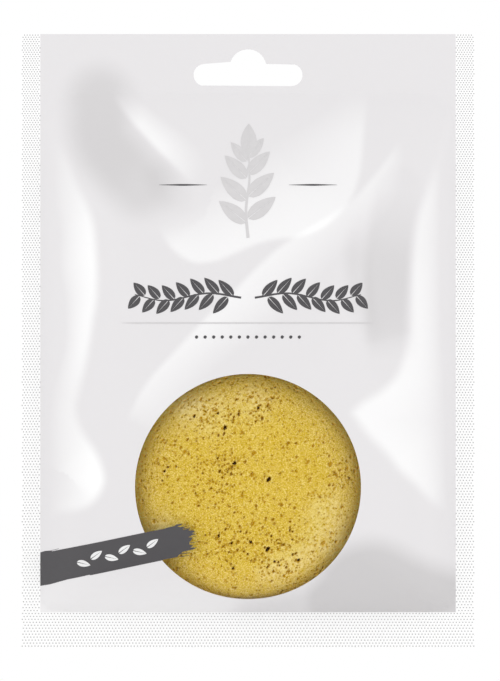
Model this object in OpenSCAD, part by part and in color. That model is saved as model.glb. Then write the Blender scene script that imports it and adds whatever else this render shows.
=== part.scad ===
// Konjac sponge in its hanging sachet: a domed sponge held between two film webs,
// with a round clear window, knurled seals on three sides and a welded header.
// Front faces -Y, +Z is up, and the origin is the middle of the hang slot's round crown.

/* [Sachet] */
// Width of the flat sachet, seals included
sachet_w = 133; // [110:1:160]
// Height of the flat sachet, seals included
sachet_h = 180; // [160:1:220]
// Width of each knurled side seal
side_seal_w = 5.6; // [3:0.1:9]
// Height of the knurled bottom seal
bottom_seal_h = 10.5; // [6:0.5:11]
// Height of the welded header above the pocket
header_h = 17.5; // [17:0.5:24]
// Thickness of one film web
film_t = 0.2; // [0.1:0.05:0.4]

/* [Hang slot] */
// Overall width of the slot
slot_w = 32; // [26:0.5:38]
// Height of the slot's straight bar
slot_bar_h = 6.5; // [5:0.1:8]
// Radius of the slot's round crown, where the peg sits
crown_r = 5.4; // [4.5:0.1:6]
// Height of the crown's centre above the bar's centre
crown_rise = 2.15; // [1:0.05:3]
// Depth of the bar's centre below the top edge
slot_drop = 12; // [11:0.1:13]

/* [Window] */
// Diameter of the clear window, which is centred on the sponge
window_d = 66; // [40:1:68]

/* [Sponge] */
// Diameter of the sponge at its widest
sponge_d = 70; // [60:0.5:76]
// Depth of the dome in front of the seal plane
sponge_front = 13; // [8:0.5:16]
// Depth of the base behind the seal plane
sponge_back = 9; // [5:0.5:12]
// Diameter of the flat on the sponge's base
sponge_flat_d = 40; // [30:1:44]
// Gap between the sponge's edge and the bottom seal, where the webs come together
sponge_margin = 1.9; // [1.5:0.1:4]
// Number of large open pores in the dome
pore_count = 44; // [12:1:60]
// Radius of the largest pore
pore_r = 1; // [0.6:0.1:1.4]

/* [Printed stroke] */
// Width of the dark brush stroke
stroke_w = 9.5; // [6:0.5:12]
// How far the stroke's tip reaches in past the window's left edge
stroke_over = 17; // [8:0.5:20]
// Slope of the stroke
stroke_tilt = 12; // [8:0.1:14]
// Height of the stroke's middle above the window's lowest point, at the side seal
stroke_rise = 8.7; // [6:0.1:12]
// Thickness of the printed skin
ink_t = 0.1; // [0.05:0.05:0.2]

/* [Hidden] */

// Free space between the sponge and the webs, at the crown of the dome and at the base
front_gap = 0.6;
back_gap = 0.4;
// How far the printed skin stands off the web below it
ink_gap = 0.12;
// Overrun of every through cut
overrun = 1;

// Levels of the flat sachet, measured from the crown of the hang slot
top_z = slot_drop - crown_rise;
bottom_z = top_z - sachet_h;
pocket_top_z = top_z - header_h;
pocket_bottom_z = bottom_z + bottom_seal_h;
window_z = pocket_bottom_z + sponge_margin + sponge_d / 2;

// Reach of the pocket from the window's centre, and half its width
reach_up = pocket_top_z - window_z;
reach_down = window_z - pocket_bottom_z;
half_pocket = sachet_w / 2 - side_seal_w;
window_r = window_d / 2;
sponge_r = sponge_d / 2;
weld_t = 2 * film_t;

// Fullness of the pillow: the exponent of its profile far from the sponge, and what is
// added where the seal runs close to the sponge
fullness_share = 3.2;
crowding_share = 4.2;
crowding_power_share = 3;
// The back web's profile is cut off flat where this multiple of it passes the full depth
flat_share = 1.15;
// Squareness of the sponge's dome and of the round edge of its base
dome_share = 2.5;
edge_share = 2;

front_depth = sponge_front + front_gap;
back_depth = sponge_back + back_gap;

// The webs are swept on rays from the window's centre. Each side of the pocket takes its
// own share of them, so that a ray ends in every corner.
ray_step = 7.5;
upper_corner = atan2(reach_up, half_pocket);
lower_corner = atan2(reach_down, half_pocket);
corners = [-lower_corner, upper_corner, 180 - upper_corner, 180 + lower_corner, 360 - lower_corner];
function steps_between(a, b) = max(1, round((b - a) / ray_step));
rays = [for (side = [0 : 3])
            let (a = corners[side], b = corners[side + 1], n = steps_between(a, b))
            for (i = [0 : n - 1]) a + (b - a) * i / n];

// Distance from the window's centre to the edge of the pocket along a ray
function reach(a) =
    let (across = abs(cos(a)), along = abs(sin(a)), end = sin(a) > 0 ? reach_up : reach_down)
    across * end > along * half_pocket ? half_pocket / across : end / along;

// Pillow profile: 1 over the window's centre and 0 at the seals
function fullness(a) = fullness_share + crowding_share * pow(sponge_r / reach(a), crowding_power_share);
function pillow(a, r) = 1 - pow(min(1, r / reach(a)), fullness(a));
function front_y(a, r) = -front_depth * pillow(a, r);
function back_y(a, r) = back_depth * min(1, flat_share * pillow(a, r));

// A point of a web, at radius r on ray a
function on_front(a, r, lift) = [r * cos(a), front_y(a, r) - lift, window_z + r * sin(a)];
function on_back(a, r, lift) = [r * cos(a), back_y(a, r) + lift, window_z + r * sin(a)];

// A point of the front web, given its place across and above the window's centre
function over_front(x, z, lift) = on_front(atan2(z, x), norm([x, z]), lift);

function flipped(faces, flip) = flip ? [for (f = faces) [f[2], f[1], f[0]]] : faces;

// Closed film ring: each layer holds the rings of points from the inner rim to the outer
module film_ring(near, far, flip = false) {
    rings = len(near);
    n = len(near[0]);
    side = rings * n;
    points = concat([for (ring = near) each ring], [for (ring = far) each ring]);
    skin = [for (k = [0 : rings - 2]) for (i = [0 : n - 1])
                let (j = (i + 1) % n, a = k * n + i, b = k * n + j, c = a + n, d = b + n)
                each [[a, b, d], [a, d, c]]];
    walls = [for (i = [0 : n - 1])
                 let (j = (i + 1) % n, o = (rings - 1) * n)
                 each [[i, side + i, side + j], [i, side + j, j],
                       [o + i, o + j, side + o + j], [o + i, side + o + j, side + o + i]]];
    back = [for (f = skin) [f[0] + side, f[2] + side, f[1] + side]];
    polyhedron(points, flipped(concat(skin, back, walls), flip));
}

// Closed film disc: the same with a middle point in place of the inner rim
module film_disc(near, far, near_mid, far_mid, flip = false) {
    rings = len(near);
    n = len(near[0]);
    side = rings * n + 1;
    points = concat([near_mid], [for (ring = near) each ring], [far_mid], [for (ring = far) each ring]);
    fan = [for (i = [0 : n - 1]) [0, 1 + i, 1 + (i + 1) % n]];
    skin = [for (k = [0 : rings - 2]) for (i = [0 : n - 1])
                let (j = (i + 1) % n, a = 1 + k * n + i, b = 1 + k * n + j, c = a + n, d = b + n)
                each [[a, d, b], [a, c, d]]];
    face = concat(fan, skin);
    back = [for (f = face) [f[0] + side, f[2] + side, f[1] + side]];
    o = 1 + (rings - 1) * n;
    wall = [for (i = [0 : n - 1])
                let (j = (i + 1) % n)
                each [[o + i, side + o + j, o + j], [o + i, side + o + i, side + o + j]]];
    polyhedron(points, flipped(concat(face, back, wall), flip));
}

// Printed front web, from the rim of the window to the seals
front_rings = 10;
function front_layer(lift) =
    [for (k = [0 : front_rings]) [for (a = rays)
        on_front(a, window_r + (reach(a) - window_r) * k / front_rings, lift)]];
module front_film() {
    color("gainsboro") film_ring(front_layer(film_t), front_layer(0), flip = true);
}

// Clear window in the front web, over the sponge
window_rings = 10;
function window_layer(lift) =
    [for (k = [1 : window_rings]) [for (a = rays) on_front(a, window_r * k / window_rings, lift)]];
module window_pane() {
    color("lightcyan", 0.35)
        film_disc(window_layer(film_t), window_layer(0), on_front(0, 0, film_t), on_front(0, 0, 0),
                  flip = true);
}

// Back web, flat behind the sponge
back_rings = 16;
function back_layer(lift) =
    [for (k = [1 : back_rings]) [for (a = rays) on_back(a, reach(a) * k / back_rings, lift)]];
module back_film() {
    color("whitesmoke")
        film_disc(back_layer(film_t), back_layer(0), on_back(0, 0, film_t), on_back(0, 0, 0));
}

// Flat weld of both webs, given its low corner and its size in the seal plane
module weld(x, z, w, h) {
    translate([x, -weld_t / 2, z]) cube([w, weld_t, h]);
}
module left_seal() {
    color("white") weld(-sachet_w / 2, bottom_z, side_seal_w, sachet_h);
}
module right_seal() {
    color("white") weld(half_pocket, bottom_z, side_seal_w, sachet_h);
}
module bottom_seal() {
    color("white") weld(-half_pocket, bottom_z, 2 * half_pocket, bottom_seal_h);
}

// Welded header with the hang slot cut through both webs
module hang_slot() {
    bar_l = slot_w - slot_bar_h;
    translate([0, -crown_rise]) {
        square([bar_l, slot_bar_h], center = true);
        for (s = [-1, 1])
            translate([s * bar_l / 2, 0]) circle(d = slot_bar_h, $fn = 48);
    }
    circle(r = crown_r, $fn = 64);
}
module header() {
    color("gainsboro")
        difference() {
            weld(-half_pocket, pocket_top_z, 2 * half_pocket, header_h);
            rotate([90, 0, 0])
                linear_extrude(weld_t + 2 * overrun, center = true) hang_slot();
        }
}

// Sponge: a squared dome over a base with a round edge, and large pores open in the dome
dome_steps = 14;
edge_steps = 8;
function dome_y(r) = sponge_front * pow(1 - pow(r / sponge_r, dome_share), 1 / dome_share);
function base_y(r) =
    let (flat_r = sponge_flat_d / 2, t = max(0, (r - flat_r) / (sponge_r - flat_r)))
    sponge_back * pow(1 - pow(t, edge_share), 1 / edge_share);
// Radii crowd towards the widest circle, where the profile is steep
function crowded(i, n) = sin(90 * i / n);
module sponge_profile() {
    flat_r = sponge_flat_d / 2;
    polygon(concat(
        [[0, -sponge_back]],
        [for (i = [0 : edge_steps])
            let (r = flat_r + (sponge_r - flat_r) * crowded(i, edge_steps)) [r, -base_y(r)]],
        [for (i = [dome_steps - 1 : -1 : 0])
            let (r = sponge_r * crowded(i, dome_steps)) [r, dome_y(r)]]));
}
golden_turn = 137.508;
pore_reach_share = 0.86;
pore_small_share = 0.55;
// Pores sit on a spiral that fills the dome evenly, and vary in size round it
module pores() {
    for (i = [0 : pore_count - 1]) {
        r = pore_reach_share * sponge_r * sqrt((i + 0.5) / pore_count);
        size = pore_r * (1 - pore_small_share * pow(sin(i * golden_turn / 2), 2));
        rotate([0, 0, i * golden_turn]) translate([r, 0, dome_y(r)]) sphere(r = size, $fn = 24);
    }
}
module sponge() {
    color("goldenrod")
        translate([0, 0, window_z]) rotate([90, 0, 0])
            difference() {
                rotate_extrude($fn = 96) sponge_profile();
                pores();
            }
}

// Dark brush stroke printed over the front web and the window's edge. Its rows run along
// the stroke: each starts at the side seal and ends ragged, as bristles leave it.
stroke_rows = 14;
stroke_cols = 12;
ragged_share = 0.16;
bulge_share = 0.38;
stroke_z = stroke_rise - window_r;
stroke_l = (half_pocket - window_r + stroke_over) / cos(stroke_tilt);
function row_v(j) = stroke_w * (j / stroke_rows - 0.5);
function row_start(j) = row_v(j) * tan(stroke_tilt);
function row_end(j) =
    stroke_l - bulge_share * stroke_w * pow(2 * j / stroke_rows - 1, 2)
             - ragged_share * stroke_w * (j % 2) * (1 + sin(j * golden_turn)) / 2;
function stroke_point(i, j, lift) =
    let (u = row_start(j) + (row_end(j) - row_start(j)) * i / stroke_cols, v = row_v(j),
         x = -half_pocket + u * cos(stroke_tilt) - v * sin(stroke_tilt),
         z = stroke_z + u * sin(stroke_tilt) + v * cos(stroke_tilt))
    over_front(x, z, lift);
module brush_stroke() {
    cols = stroke_cols + 1;
    side = cols * (stroke_rows + 1);
    inner = film_t + ink_gap;
    points = [for (lift = [inner + ink_t, inner]) for (j = [0 : stroke_rows])
                  for (i = [0 : stroke_cols]) stroke_point(i, j, lift)];
    skin = [for (j = [0 : stroke_rows - 1]) for (i = [0 : stroke_cols - 1])
                let (a = j * cols + i, b = a + 1, c = a + cols, d = c + 1)
                each [[a, d, b], [a, c, d]]];
    back = [for (f = skin) [f[0] + side, f[2] + side, f[1] + side]];
    rim = concat([for (i = [0 : stroke_cols]) i],
                 [for (j = [1 : stroke_rows]) j * cols + stroke_cols],
                 [for (i = [stroke_cols - 1 : -1 : 0]) stroke_rows * cols + i],
                 [for (j = [stroke_rows - 1 : -1 : 1]) j * cols]);
    wall = [for (k = [0 : len(rim) - 1])
                let (p = rim[k], q = rim[(k + 1) % len(rim)])
                each [[p, q, side + q], [p, side + q, side + p]]];
    color("dimgray") polyhedron(points, concat(skin, back, wall));
}

sponge();
front_film();
window_pane();
back_film();
left_seal();
right_seal();
bottom_seal();
header();
brush_stroke();
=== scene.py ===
import math
from collections import namedtuple

import bpy
import numpy as np
from bpy.props import FloatProperty, FloatVectorProperty, IntProperty, PointerProperty
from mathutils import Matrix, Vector, noise
from mathutils.geometry import delaunay_2d_cdt
from mathutils.kdtree import KDTree


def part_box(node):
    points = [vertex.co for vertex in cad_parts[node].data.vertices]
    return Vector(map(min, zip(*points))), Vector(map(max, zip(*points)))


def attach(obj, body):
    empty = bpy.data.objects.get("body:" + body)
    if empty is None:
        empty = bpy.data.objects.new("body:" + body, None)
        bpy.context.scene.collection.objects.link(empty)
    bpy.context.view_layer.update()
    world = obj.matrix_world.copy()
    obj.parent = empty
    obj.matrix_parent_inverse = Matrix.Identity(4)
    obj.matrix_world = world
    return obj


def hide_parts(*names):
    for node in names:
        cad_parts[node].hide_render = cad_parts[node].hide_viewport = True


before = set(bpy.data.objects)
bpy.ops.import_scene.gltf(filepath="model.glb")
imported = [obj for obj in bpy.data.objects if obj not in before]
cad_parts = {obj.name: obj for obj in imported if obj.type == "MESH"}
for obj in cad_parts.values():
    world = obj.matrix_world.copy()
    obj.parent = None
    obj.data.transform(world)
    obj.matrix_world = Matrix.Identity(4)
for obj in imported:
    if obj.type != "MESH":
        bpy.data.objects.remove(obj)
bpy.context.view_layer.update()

bl_info = {
    "name": "Konjac Sponge in a Hanging Sachet",
    "version": (1, 0, 0),
    "blender": (4, 5, 0),
    "location": "3D View > Sidebar > Sachet",
    "description": "Dresses the sponge sachet: foam, films, knurled seals, print and stage",
    "category": "Object",
}

# Lengths and places are in millimetres, and MM turns them into the scene's metres
MM = 0.001


def node_box(name):
    """Lowest and highest corner of a CAD node."""
    return [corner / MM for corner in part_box(name)]


SPONGE_LOW, SPONGE_HIGH = node_box("sponge")
SEAL_LOW, SEAL_HIGH = node_box("left_seal")
HEADER_LOW, HEADER_HIGH = node_box("header")

# The flat sachet, and the window's centre, which is the sponge's
SACHET_HALF = -SEAL_LOW.x
POCKET_HALF = -SEAL_HIGH.x
TOP_Z = HEADER_HIGH.z
BOTTOM_Z = SEAL_LOW.z
POCKET_TOP_Z = HEADER_LOW.z
POCKET_LOW_Z = node_box("bottom_seal")[1].z
WINDOW_Z = (SPONGE_LOW.z + SPONGE_HIGH.z) / 2
WINDOW_R = max(
    math.hypot(v.co.x / MM, v.co.z / MM - WINDOW_Z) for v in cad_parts["window_pane"].data.vertices
)
FILM_T = HEADER_HIGH.y
FRONT_DEPTH = -node_box("window_pane")[0].y - FILM_T
BACK_DEPTH = node_box("back_film")[1].y - FILM_T
MIDDLE = Vector((0, 0, (TOP_Z + BOTTOM_Z) / 2 * MM))

# The sponge, with the flat of its base and the squareness of its dome
SPONGE_R = SPONGE_HIGH.x
SPONGE_FRONT = -SPONGE_LOW.y
SPONGE_BACK = SPONGE_HIGH.y
FLAT_R = 20
DOME_SHARE = 2.5

# The pillow rule of the webs, as the solids follow it, and the blend into the back's flat
FULLNESS_SHARE = 3.2
CROWDING_SHARE = 4.2
CROWDING_POWER_SHARE = 3.0
FLAT_SHARE = 1.15
FLAT_BLEND_SHARE = 0.1

# The hang slot: its straight bar, its round crown, and the crown's rise over the bar
SLOT_W = 32
SLOT_BAR_H = 6.5
CROWN_R = 5.4
CROWN_RISE = 2.15
SLOT_STEP_SHARE = 0.8

# The side that a sheet faces, along Y
FRONT = -1
BACK = 1

PATH_STEPS = 5
RIM_ROOM_SHARE = 0.45
SMALL = 1e-6
SHARP_ANGLE = math.radians(50)

# Pleats of the filled sachet. A crest's points are (x, z, height share) and a foot's (x, z):
# the film rises softly from the foot, the more so the higher its swell, and falls off near the crest.
# A pleat's height share also paints its highlight into the film's colour
Pleat = namedtuple("Pleat", "fall swell crest foot")

# Hollows between the pleats: a flat half width, how far the soft edge goes past that, and a
# middle line of (x, z, depth share)
# A hollow's depth share also paints its shade into the film's colour
Hollow = namedtuple("Hollow", "flat soft line")

PLEATS = (
    Pleat(3.7, 1.8, crest=(
        (-54.5, -19.5, 0), (-51.6, -25, 0.2), (-48.8, -33, 0.42), (-45.6, -39.4, 0.64),
        (-43.6, -45.5, 0.84), (-42.5, -56, 0.95), (-42.5, -67, 0.93), (-43.6, -74, 0.93),
        (-44.6, -80.5, 0.9), (-46, -88, 0.75), (-47.8, -95.5, 0.52), (-48.6, -100.5, 0.48),
        (-46.8, -106, 0.6), (-43.5, -111, 0.9), (-41, -116.5, 1.02), (-40.4, -121.5, 1.08),
        (-42.2, -126.2, 0.98), (-45.4, -129.6, 0.75), (-50, -131.4, 0.55), (-56, -132, 0.25),
    ), foot=(
        (-58, -21), (-57, -27), (-56.6, -39), (-55.2, -48), (-55.4, -58), (-53.8, -67), (-53.4, -76),
        (-54, -83), (-56.6, -92), (-58.2, -100), (-58.4, -110), (-58.4, -121), (-58.2, -128), (-58, -132),
    )),
    Pleat(4.2, 2.4, crest=(
        (55, -24, 0), (52.8, -29, 0.2), (50.3, -36, 0.47), (47, -44.7, 0.54), (45.7, -53.5, 0.55),
        (45.1, -62.3, 0.64), (44.5, -71, 0.68), (44.4, -80, 0.7), (42.3, -88, 0.75), (37.8, -93, 0.74),
        (31.9, -96.7, 0.74), (28.6, -100.8, 0.74), (30.9, -105.4, 0.74), (34.8, -110.2, 0.72),
        (39, -114.3, 0.74), (43, -119.2, 0.77), (47.8, -123.8, 0.66), (52, -128.2, 0.5), (57, -131.6, 0.1),
    ), foot=(
        (56.5, -28), (56.3, -39), (56.4, -56), (56.6, -74), (57.4, -91), (57.8, -100), (58, -110),
        (58, -118), (58.4, -126), (59, -133),
    )),
    Pleat(2.4, 1.9, crest=(
        (36, -7, 0), (35.6, -13, 0.2), (35, -20, 0.42), (34.4, -27, 0.47), (33.4, -33, 0.49),
        (31.2, -39, 0.5), (27, -44.2, 0.55), (22, -48.2, 0.58), (15, -50.8, 0.6), (6, -52, 0.58),
        (-1, -54.5, 0.6), (-8, -57.5, 0.6), (-14.5, -58.5, 0.6), (-19.2, -57, 0.6), (-23.8, -53, 0.5),
        (-27.5, -47, 0),
    ), foot=(
        (28, -6), (22.6, -12.4), (15.2, -17.7), (7.9, -21.8), (0.6, -27.1), (-6.7, -33), (-12.6, -37.4),
        (-18, -40.5), (-23, -42.5), (-27.5, -45),
    )),
    Pleat(2.3, 1.3, crest=(
        (-36.5, -103, 0), (-35, -100, 0.3), (-32.5, -95, 0.48), (-29, -90, 0.53), (-24.5, -85, 0.57),
        (-18.5, -78.5, 0.6), (-11.5, -71, 0.6), (-4.5, -64.4, 0.6), (2, -57.8, 0.58), (8, -52.3, 0.55),
        (16, -47, 0.52), (28, -39.6, 0.4), (35, -32.4, 0.48), (40, -26, 0.4), (43.5, -20.5, 0),
    ), foot=(
        (-24, -106), (-19, -99), (-14, -93), (-8, -87), (0.6, -81), (8, -75.5), (15.5, -68), (23, -59.5),
        (29, -53.5), (35, -49), (41, -43), (44.5, -36), (45.5, -29), (45.5, -21),
    )),
    Pleat(2.6, 1.2, crest=(
        (-41.5, -7.9, 0), (-38.5, -12, 0.55), (-35.2, -16.4, 0.82), (-31.5, -20.6, 0.88),
        (-27.5, -25, 0.84), (-23.7, -28.8, 0.6), (-19.9, -32.5, 0.32), (-16.5, -36, 0),
    ), foot=(
        (-35, -6), (-31, -10), (-26, -14), (-20.5, -18), (-15.5, -22.5), (-12.5, -27), (-12, -32),
        (-14, -36),
    )),
    # This pleat along the bottom seal is mostly painted light, which lifts the shade on the pillow's lower
    # shoulder
    Pleat(0.3, 0.8, crest=(
        (-60.5, -160, 0.36), (-34, -160, 0.38), (-14, -160, 0.42), (-4, -160, 0.22), (6, -160, 0.06),
        (34, -160, 0.14), (60.5, -160, 0.3),
    ), foot=(
        (-60.5, -147), (-34, -147), (-14, -149), (0, -152), (60.5, -154),
    )),
)
HOLLOWS = (
    Hollow(3.6, 10, ((-43.5, -9, 0.7), (-42.8, -21, 0.8), (-37, -28.8, 0.8), (-31.5, -34.5, 0.66))),
    Hollow(4.8, 4, (
        (41.8, -86, 0.04), (41.8, -81, 0.24), (41.2, -75.5, 0.6), (41.2, -58, 0.66), (42.4, -47, 0.38),
        (44, -36, 0.1),
    )),
    Hollow(1, 4.6, (
        (33, -47, 0.06), (32, -52, 0.24), (31.7, -57, 0.38), (33, -68, 0.26), (36, -78, 0.08), (38, -86, 0),
    )),
    Hollow(11.8, 9.5, ((36, -156, 1.15), (45, -160.6, 1.15), (62, -166.6, 1.15))),
    Hollow(3.4, 6.5, ((2, -163, 0.53), (20, -159, 0.55))),
    Hollow(1.5, 6, ((-25.5, -32, 0.2), (-21.5, -37.5, 0.22))),
)

# Folds of the back web, guessed: tension runs from the sponge to the corners and the seals
# Like the front's, they paint their highlight and shade into the film's colour
BACK_PLEATS = (
    Pleat(4, 1.8, crest=(
        (53, -22, 0), (50.5, -32, 0.35), (47.5, -44, 0.55), (46.2, -58, 0.6), (46.6, -72, 0.5),
        (48, -86, 0.35), (47, -96, 0.42), (44, -104, 0.62), (41.8, -112, 0.75), (42.3, -120, 0.7),
        (45.6, -127, 0.5), (51, -133, 0.15),
    ), foot=(
        (57, -24), (56.5, -36), (55.8, -50), (55.6, -64), (56.4, -80), (57.6, -94), (58.2, -108),
        (58.2, -120), (58.6, -132),
    )),
    Pleat(3.8, 1.8, crest=(
        (-55, -26, 0), (-51.5, -36, 0.4), (-47.5, -46, 0.6), (-45.8, -56, 0.62), (-46.8, -68, 0.5),
        (-49.5, -80, 0.3), (-49, -92, 0.35), (-45.5, -101, 0.6), (-41.5, -107, 0.72), (-39.6, -114, 0.78),
        (-41.5, -122, 0.7), (-46, -129, 0.45), (-53, -134, 0.1),
    ), foot=(
        (-58, -28), (-57.2, -42), (-56, -58), (-56.6, -76), (-58, -92), (-58.4, -110), (-58.6, -124),
        (-59, -136),
    )),
    Pleat(2.4, 1.3, crest=(
        (-44, -9, 0), (-38, -16, 0.45), (-31.5, -25, 0.62), (-26, -35, 0.6), (-22.5, -46, 0.42),
        (-21, -57, 0),
    ), foot=(
        (-33, -8), (-26.5, -15), (-21, -23), (-17, -33), (-15, -44), (-15.5, -56),
    )),
    Pleat(2.4, 1.5, crest=(
        (40, -8, 0), (35.5, -14, 0.4), (30.5, -22, 0.6), (26, -31.5, 0.62), (20.5, -40, 0.5),
        (13, -47, 0.35), (5, -51, 0),
    ), foot=(
        (28, -7), (22, -13), (16, -20), (10, -28), (4, -36), (-1, -43), (-3, -50),
    )),
    Pleat(1.8, 1.3, crest=(
        (36, -139, 0), (41, -144, 0.4), (47, -150, 0.5), (54, -156, 0.2), (58, -159, 0),
    ), foot=(
        (42, -136), (48, -141), (54, -147), (59, -153), (61, -158),
    )),
    Pleat(1.8, 1.3, crest=(
        (-33, -141, 0), (-38, -147, 0.4), (-45, -152.5, 0.45), (-53, -157, 0.1),
    ), foot=(
        (-39, -137.5), (-45, -142.5), (-52, -148), (-58, -154),
    )),
)
BACK_HOLLOWS = (
    Hollow(1.5, 6, ((-41, -22, 0.3), (-34, -33, 0.45), (-30, -46, 0.4), (-30, -58, 0.15))),
    Hollow(1.5, 6, ((34, -28, 0.3), (28, -38, 0.45), (19, -47, 0.35), (9, -54, 0.1))),
    Hollow(1.5, 5.5, ((41, -52, 0.3), (39.5, -66, 0.45), (40, -80, 0.3), (42, -90, 0.1))),
    Hollow(1.5, 5.5, ((-40, -56, 0.3), (-40, -70, 0.4), (-42, -84, 0.25))),
    Hollow(2, 5, ((-26, -155, 0.25), (0, -157.5, 0.4), (26, -155, 0.25))),
)

FOLDS = {FRONT: (PLEATS, HOLLOWS), BACK: (BACK_PLEATS, BACK_HOLLOWS)}


def smooth(t):
    """Eases from 0 to 1 as t does."""
    t = np.clip(t, 0, 1)
    return t * t * (3 - 2 * t)


def smooth_path(points):
    """A curve through given points, as rows of x, z and share."""
    rows = np.array([(*point, 0)[:3] for point in points], float)
    rows = np.vstack([2 * rows[0] - rows[1], rows, 2 * rows[-1] - rows[-2]])
    t = np.linspace(0, 1, PATH_STEPS, endpoint=False)[:, None]
    spans = []
    for a, b, c, d in zip(rows, rows[1:], rows[2:], rows[3:]):
        bend = a - 2.5 * b + 2 * c - d / 2
        twist = 1.5 * b - a / 2 - 1.5 * c + d / 2
        spans.append(b + t * (c - a) / 2 + t**2 * bend + t**3 * twist)
    return np.vstack([*spans, rows[-2:-1]])


def beside(path, x, z):
    """Each point's distance from a path, positive on its left, and the path's share beside it."""
    nearest = np.full(np.shape(x), np.inf)
    side = np.ones(np.shape(x))
    share = np.zeros(np.shape(x))
    for a, b in zip(path, path[1:]):
        step = b - a
        along = ((x - a[0]) * step[0] + (z - a[1]) * step[1]) / (step[0] ** 2 + step[1] ** 2)
        along = np.clip(along, 0, 1)
        dx = x - a[0] - along * step[0]
        dz = z - a[1] - along * step[1]
        gap = np.hypot(dx, dz)
        nearer = gap < nearest
        nearest = np.where(nearer, gap, nearest)
        side = np.where(nearer, np.sign(step[0] * dz - step[1] * dx), side)
        share = np.where(nearer, a[2] + along * step[2], share)
    return nearest * side, share


def facing(path, other):
    """The side of a path, 1 or -1, on which the middle of another path lies."""
    middle = other[len(other) // 2]
    return np.sign(beside(path, middle[0], middle[1])[0])


def folds(x, z, side):
    """The film's folds at each point, from -1 in the deepest hollow to 1 on the highest pleat. The value
    raises and sinks the film a little and also paints its highlight and shade.
    """
    pleats, hollows = FOLDS[side]
    total = np.zeros(np.shape(x))
    for pleat in pleats:
        crest = smooth_path(pleat.crest)
        foot = smooth_path(pleat.foot)
        from_crest, share = beside(crest, x, z)
        from_foot, _ = beside(foot, x, z)
        from_crest = from_crest * facing(crest, foot)
        from_foot = from_foot * facing(foot, crest)
        rise = np.clip(from_foot / np.maximum(from_foot + from_crest, SMALL), 0, 1)
        total += share * (1 - (1 - rise) ** pleat.swell) * smooth(from_crest / pleat.fall)
    for hollow in hollows:
        gap, share = beside(smooth_path(hollow.line), x, z)
        total -= share * smooth((hollow.flat + hollow.soft - np.abs(gap)) / hollow.soft)
    return np.clip(total, -1, 1)


def arc(x, z, radius, start, end, step):
    """Points round a circle, from a start angle to an end angle in degrees, without the end."""
    count = max(3, round(abs(math.radians(end - start)) * radius / step))
    turn = np.radians(np.linspace(start, end, count, endpoint=False))
    return np.column_stack([x + radius * np.cos(turn), z + radius * np.sin(turn)])


def circle(x, z, radius, step):
    """Points round a whole circle, anticlockwise."""
    return arc(x, z, radius, 0, 360, step)[:-1]


def closed_line(corners, step):
    """A closed loop through its corners, with points a step apart."""
    corners = np.array(corners, float)
    sides = []
    for a, b in zip(corners, np.roll(corners, -1, axis=0)):
        count = max(1, math.ceil(np.hypot(*(b - a)) / step))
        sides.append(a + (b - a) * np.linspace(0, 1, count, endpoint=False)[:, None])
    return np.vstack(sides)


def inside(loops, points):
    """Which points the loops wind round. A hole's loop runs the other way."""
    turns = np.zeros(len(points), int)
    x, z = points.T
    for loop in loops:
        for (ax, az), (bx, bz) in zip(loop, np.roll(loop, -1, axis=0)):
            left = (bx - ax) * (z - az) - (x - ax) * (bz - az) > 0
            turns += (az <= z) & (z < bz) & left
            turns -= (bz <= z) & (z < az) & ~left
    return turns != 0


def fill(loops, spacing):
    """Fills loops with near-equal triangles: points as (x, z), and faces that turn left."""
    rim = np.vstack(loops)
    low, high = rim.min(0), rim.max(0)
    across = np.arange(low[0], high[0], spacing)
    heights = np.arange(low[1], high[1], spacing * math.sqrt(3) / 2)
    grid = [(x + (k % 2) * spacing / 2, z) for k, z in enumerate(heights) for x in across]
    grid = np.array(grid).reshape(-1, 2)
    grid = grid[inside(loops, grid)] if len(grid) else grid
    tree = KDTree(max(1, len(grid)))
    for k, (x, z) in enumerate(grid):
        tree.insert((x, z, 0), k)
    tree.balance()
    room = spacing * RIM_ROOM_SHARE
    crowded = {found[1] for x, z in rim for found in tree.find_range((x, z, 0), room)}
    grid = np.delete(grid, sorted(crowded), axis=0)
    edges = []
    start = 0
    for loop in loops:
        edges += [(start + k, start + (k + 1) % len(loop)) for k in range(len(loop))]
        start += len(loop)
    points = [tuple(p) for p in np.vstack([rim, grid])]
    made = delaunay_2d_cdt(points, edges, [], 0, SMALL)
    points = np.array([tuple(p) for p in made[0]])
    faces = np.array(made[2])
    return points, faces[inside(loops, points[faces].mean(1))]


def add_object(name, data):
    """An object of that data, linked to the scene."""
    made = bpy.data.objects.new(name, data)
    bpy.context.scene.collection.objects.link(made)
    return made


def new_mesh(name, points, faces):
    """A mesh object from points in millimetres and triangles, linked and shaded smooth."""
    mesh = bpy.data.meshes.new(name)
    mesh.vertices.add(len(points))
    mesh.vertices.foreach_set("co", (np.asarray(points, float) * MM).astype(np.float32).ravel())
    mesh.loops.add(len(faces) * 3)
    mesh.loops.foreach_set("vertex_index", np.asarray(faces, np.int32).ravel())
    mesh.polygons.add(len(faces))
    mesh.polygons.foreach_set("loop_start", np.arange(0, len(faces) * 3, 3, dtype=np.int32))
    mesh.update(calc_edges=True)
    mesh.validate()
    mesh.shade_smooth()
    return add_object(name, mesh)


def give_values(obj, name, values):
    """Stores one number for each point of the mesh."""
    attribute = obj.data.attributes.new(name, "FLOAT", "POINT")
    attribute.data.foreach_set("value", np.asarray(values, np.float32))


def both_ways(operation):
    """The plain and the reflected method of an operator, which add its Math node."""

    def plain(self, other):
        return self.graph.math(operation, self, other)

    def reflected(self, other):
        return self.graph.math(operation, other, self)

    return plain, reflected


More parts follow.
